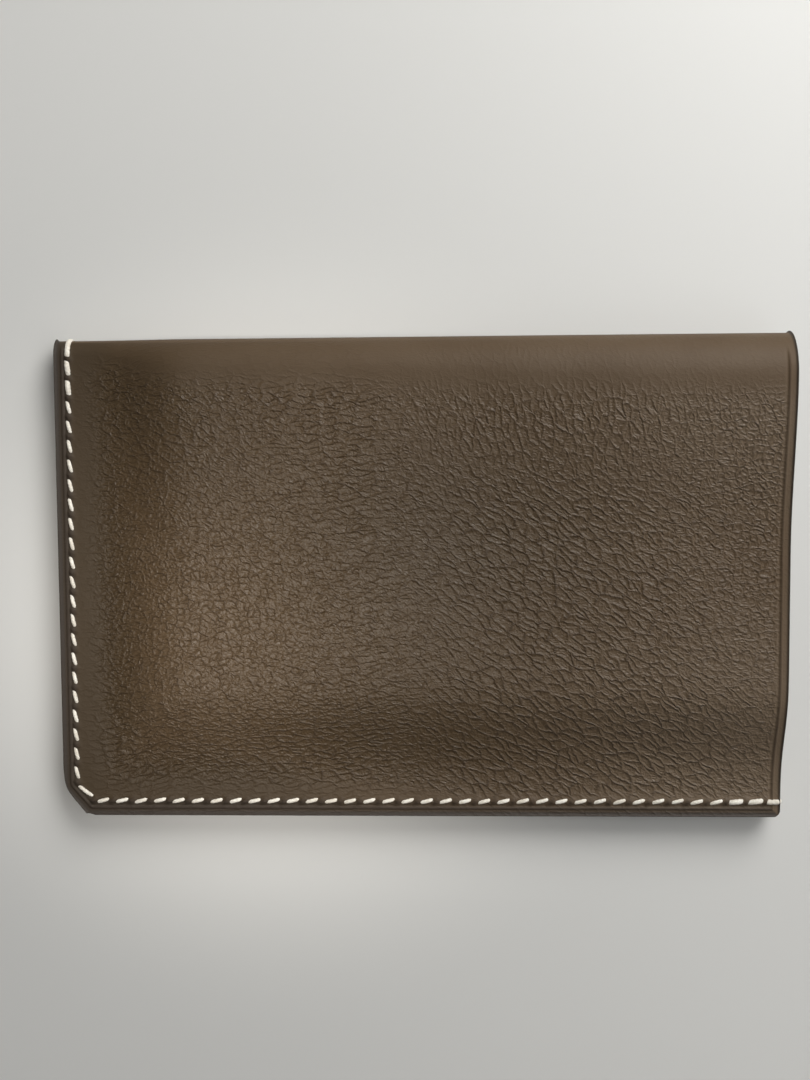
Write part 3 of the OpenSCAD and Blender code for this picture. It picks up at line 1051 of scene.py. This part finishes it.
# Points of the folded sheet at the given depth, which nothing uses.
def declareSheet(depth):
    columns = np.linspace(0, sheetLength, 40)
    steps = np.linspace(0, sheetWidth, 60)
    points = toPlace(*sheetGrid(columns, steps, 30, steps, depth)[:3])


linen = plainFinish("waxedLinen", threadLook)
paint = plainFinish("edgePaint", edgeLook)
dress(outer, leatherFinish(leatherLook), "outer_leather")
dress(lining, plainFinish("smoothLining", liningLook), "lining_leather")
dress(stiffener, stiffenerFinish(stiffenerLook), "stiffener_sheet")
dress(sewnEdge, paint, "sewn_edge_coat")
dress(mouthEdge, paint, "mouth_edge_coat")
dress(firstThread, linen, "first_needle_thread")
dress(secondThread, linen, "second_needle_thread")
dress(foldLoop, linen, "fold_end_loop")
dress(mouthLoop, linen, "mouth_end_loop")

declareSheet(outerThickness / 2)
declareSheet(outerThickness + stiffenerThickness / 2)
declareSheet((outerThickness + stiffenerThickness + leafThickness) / 2)

print("stage: camera and studio")
view = {
    "place": (0.00372, 0.01774, 0.185),
    "aim": (-0.00227, 0.00516, 0.0),
    "roll": 0.0061,
    "lens": 41.77,
}


# Looks from its place towards its aim, and is rolled about that line.
def makeCamera(view):
    data = bpy.data.cameras.new("camera")
    data.lens = view["lens"]
    data.clip_start = 0.01
    camera = bpy.data.objects.new("camera", data)
    forward = (Vector(view["aim"]) - Vector(view["place"])).normalized()
    right = forward.cross(Vector((0, 1, 0))).normalized()
    up = right.cross(forward)
    turn = Matrix.Rotation(view["roll"], 3, forward)
    axes = Matrix([turn @ right, turn @ up, -forward]).transposed()
    camera.matrix_world = Matrix.Translation(view["place"]) @ axes.to_4x4()
    bpy.context.scene.collection.objects.link(camera)
    bpy.context.scene.camera = camera


makeCamera(view)

studio = {
    "floor": (0.72, 0.715, 0.69, 1),
    "floorRoughness": 0.40,
    "floorHalf": 2.0,
    "world": 0.11,
    "areas": [
        # name, place, size, power, colour
        ("panel", (0.18, 0.31, 0.28), 0.30, 1.78, (1.0, 0.995, 0.98)),
        ("ceiling", (0.36, 0.12, 0.60), 0.42, 1.0, (1.0, 1.0, 1.0)),
        ("fill", (0.26, -0.20, 0.30), 0.20, 0.12, (1.0, 0.99, 0.97)),
    ],
    # place, aim, cone in degrees, size, power, colour
    "spot": ((-0.103, -0.085, 0.60), (-0.024, -0.007, 0.008), 7.5, 0.03, 13.0, (1.0, 0.95, 0.88)),
}


def makeStudio(studio):
    floorMesh = bpy.data.meshes.new("floor")
    half = studio["floorHalf"]
    corners = [(-half, -half, 0), (half, -half, 0), (half, half, 0), (-half, half, 0)]
    floorMesh.from_pydata(corners, [], [(0, 1, 2, 3)])
    floor = bpy.data.objects.new("floor", floorMesh)
    bpy.context.scene.collection.objects.link(floor)
    settings = {"Base Color": studio["floor"], "Roughness": studio["floorRoughness"]}
    floorMesh.materials.append(Finish("paleTable").surface(settings))
    bpy.context.scene.view_settings.view_transform = "Standard"
    world = bpy.data.worlds.new("studio")
    world.use_nodes = True
    background = world.node_tree.nodes["Background"]
    background.inputs["Color"].default_value = (1, 1, 1, 1)
    background.inputs["Strength"].default_value = studio["world"]
    bpy.context.scene.world = world
    for name, place, size, power, colour in studio["areas"]:
        data = bpy.data.lights.new(name, "AREA")
        data.shape = "DISK"
        data.size = size
        addLight(data, place, (0, 0, 0), power, colour)
    place, aim, cone, size, power, colour = studio["spot"]
    data = bpy.data.lights.new("spot", "SPOT")
    data.spot_size = math.radians(cone)
    data.spot_blend = 1.0
    data.shadow_soft_size = size
    addLight(data, place, aim, power, colour)


def addLight(data, place, aim, power, colour):
    data.energy = power
    data.color = colour
    light = bpy.data.objects.new(data.name, data)
    light.location = place
    light.rotation_mode = "QUATERNION"
    light.rotation_quaternion = (Vector(aim) - Vector(place)).to_track_quat("-Z", "Y")
    bpy.context.scene.collection.objects.link(light)


makeStudio(studio)
